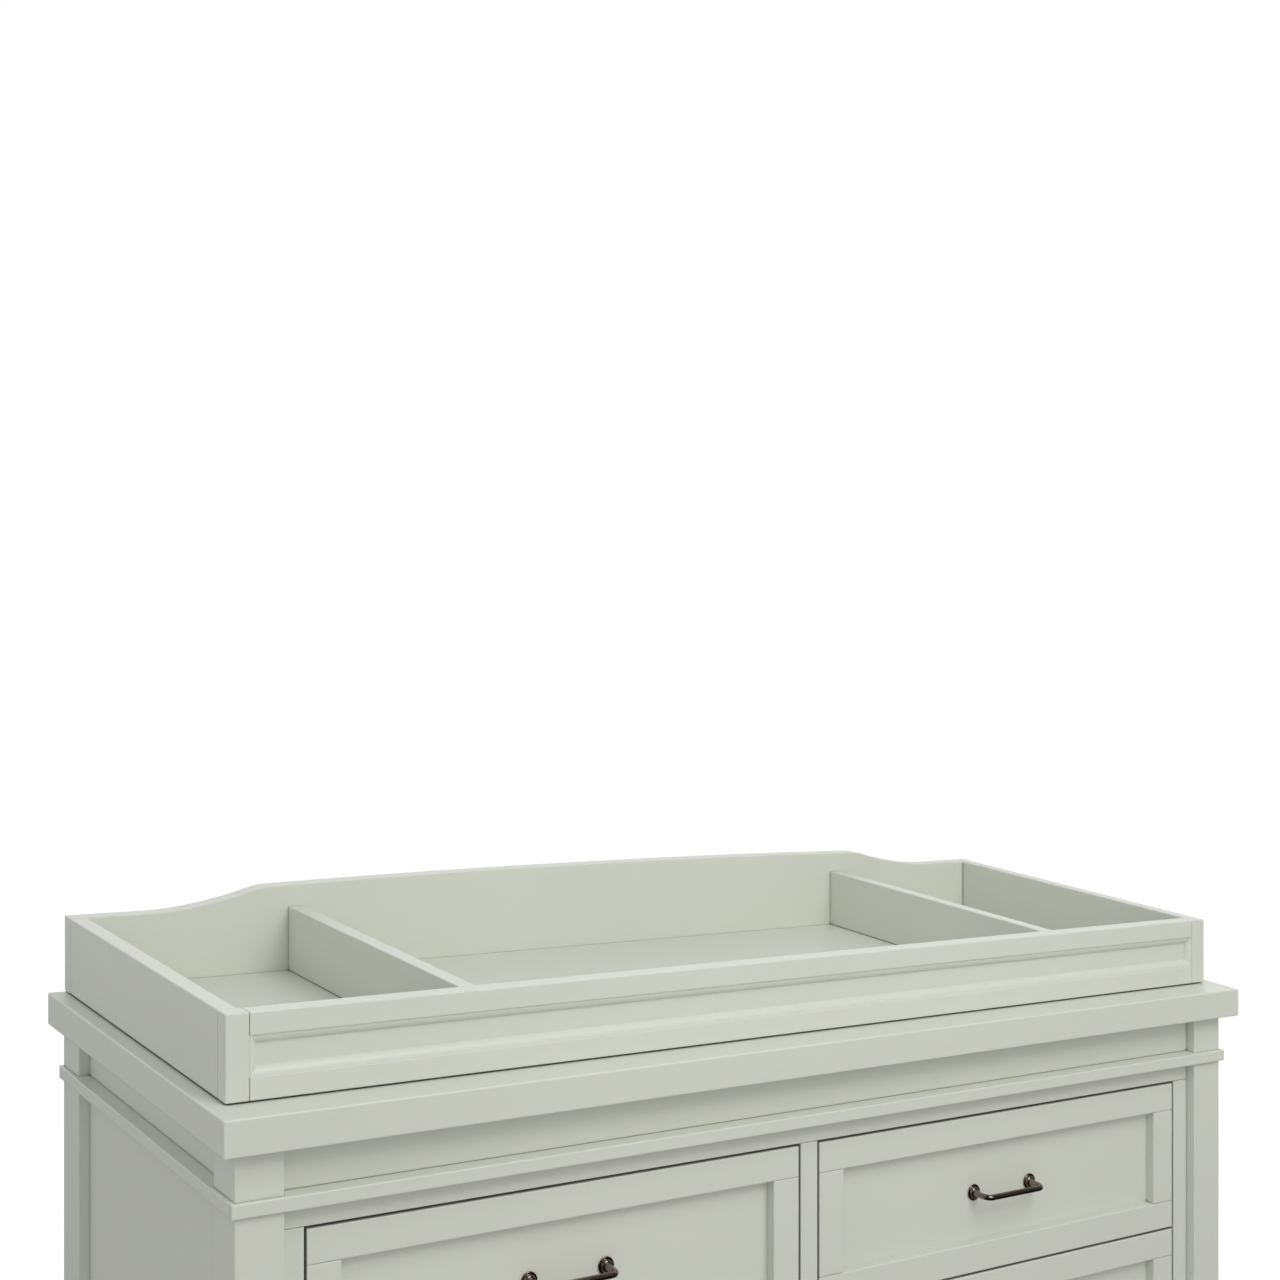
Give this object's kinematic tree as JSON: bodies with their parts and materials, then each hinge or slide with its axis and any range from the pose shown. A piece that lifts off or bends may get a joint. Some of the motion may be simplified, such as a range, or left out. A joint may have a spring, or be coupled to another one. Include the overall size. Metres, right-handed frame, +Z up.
{
  "type": "changing table",
  "caption": "Painted wooden dresser with framed sliding drawers, bar pulls and a lift-off divided changing tray with a curved back on its top.",
  "frame": {"origin": "on the floor, under the middle of the top board", "axes": "+X along the width to the object's left as seen from behind it (right as seen from the front), -Y towards the person using it, +Z up"},
  "size_m": [1.44, 0.502, 0.9845],
  "materials": {
    "painted_wood": "satin sage-grey paint over wood",
    "tray_board": "satin painted board",
    "drawer_wood": "clear-lacquered pale solid wood",
    "raw_wood": "unpainted poplar and plywood inside the case",
    "back_board": "thin painted fibreboard back",
    "pull_metal": "dark oil-rubbed bronze, polished",
    "slide_steel": "zinc-plated sheet steel",
    "screw_steel": "zinc-plated screws",
    "glide_plastic": "black nylon",
    "felt": "self-adhesive felt"
  },
  "bodies": {
    "cabinet": {"top_panel": "painted_wood", "frieze_front": "painted_wood", "frieze_sides": "painted_wood", "band_front": "painted_wood", "band_sides": "painted_wood", "post_front_left": "painted_wood", "post_front_right": "painted_wood", "post_back_left": "painted_wood", "post_back_right": "painted_wood", "side_panel_left": "painted_wood", "side_panel_right": "painted_wood", "back_panel": "back_board", "face_top_rail": "painted_wood", "face_stile_left": "painted_wood", "face_stile_right": "painted_wood", "face_mullion": "painted_wood", "face_bottom_rail": "painted_wood", "center_partition": "raw_wood", "bottom_panel": "raw_wood", "back_rails": "raw_wood", "slide_cleats": "raw_wood", "cabinet_slides": "slide_steel", "foot_glides": "glide_plastic", "wall_anchor": "slide_steel", "wall_anchor_screws": "screw_steel"},
    "tray": {"tray_front": "painted_wood", "tray_posts": "painted_wood", "tray_side_left": "painted_wood", "tray_side_right": "painted_wood", "tray_back": "painted_wood", "tray_floor": "tray_board", "tray_divider_left": "painted_wood", "tray_divider_right": "painted_wood", "tray_pads": "felt", "tray_brackets": "slide_steel", "tray_bracket_screws": "screw_steel"},
    "drawer_bottom_left": {"drawer_bottom_left_front": "painted_wood", "drawer_bottom_left_box": "drawer_wood", "drawer_bottom_left_slides": "slide_steel", "drawer_bottom_left_pull": "pull_metal"},
    "drawer_bottom_right": {"drawer_bottom_right_front": "painted_wood", "drawer_bottom_right_box": "drawer_wood", "drawer_bottom_right_slides": "slide_steel", "drawer_bottom_right_pull": "pull_metal"},
    "drawer_middle_left": {"drawer_middle_left_front": "painted_wood", "drawer_middle_left_box": "drawer_wood", "drawer_middle_left_slides": "slide_steel", "drawer_middle_left_pull": "pull_metal"},
    "drawer_middle_right": {"drawer_middle_right_front": "painted_wood", "drawer_middle_right_box": "drawer_wood", "drawer_middle_right_slides": "slide_steel", "drawer_middle_right_pull": "pull_metal"},
    "drawer_top_left": {"drawer_top_left_front": "painted_wood", "drawer_top_left_box": "drawer_wood", "drawer_top_left_slides": "slide_steel", "drawer_top_left_pull": "pull_metal"},
    "drawer_top_right": {"drawer_top_right_front": "painted_wood", "drawer_top_right_box": "drawer_wood", "drawer_top_right_slides": "slide_steel", "drawer_top_right_pull": "pull_metal"}
  },
  "joints": [
    {"name": "tray_lift", "type": "slide", "parent": "cabinet", "child": "tray", "axis": [0, 0, 1], "range_m": [0, 0.15]},
    {"name": "drawer_bottom_left_slide", "type": "slide", "parent": "cabinet", "child": "drawer_bottom_left", "axis": [0, -1, 0], "range_m": [0, 0.285]},
    {"name": "drawer_bottom_right_slide", "type": "slide", "parent": "cabinet", "child": "drawer_bottom_right", "axis": [0, -1, 0], "range_m": [0, 0.285]},
    {"name": "drawer_middle_left_slide", "type": "slide", "parent": "cabinet", "child": "drawer_middle_left", "axis": [0, -1, 0], "range_m": [0, 0.285]},
    {"name": "drawer_middle_right_slide", "type": "slide", "parent": "cabinet", "child": "drawer_middle_right", "axis": [0, -1, 0], "range_m": [0, 0.285]},
    {"name": "drawer_top_left_slide", "type": "slide", "parent": "cabinet", "child": "drawer_top_left", "axis": [0, -1, 0], "range_m": [0, 0.285]},
    {"name": "drawer_top_right_slide", "type": "slide", "parent": "cabinet", "child": "drawer_top_right", "axis": [0, -1, 0], "range_m": [0, 0.285]}
  ]
}
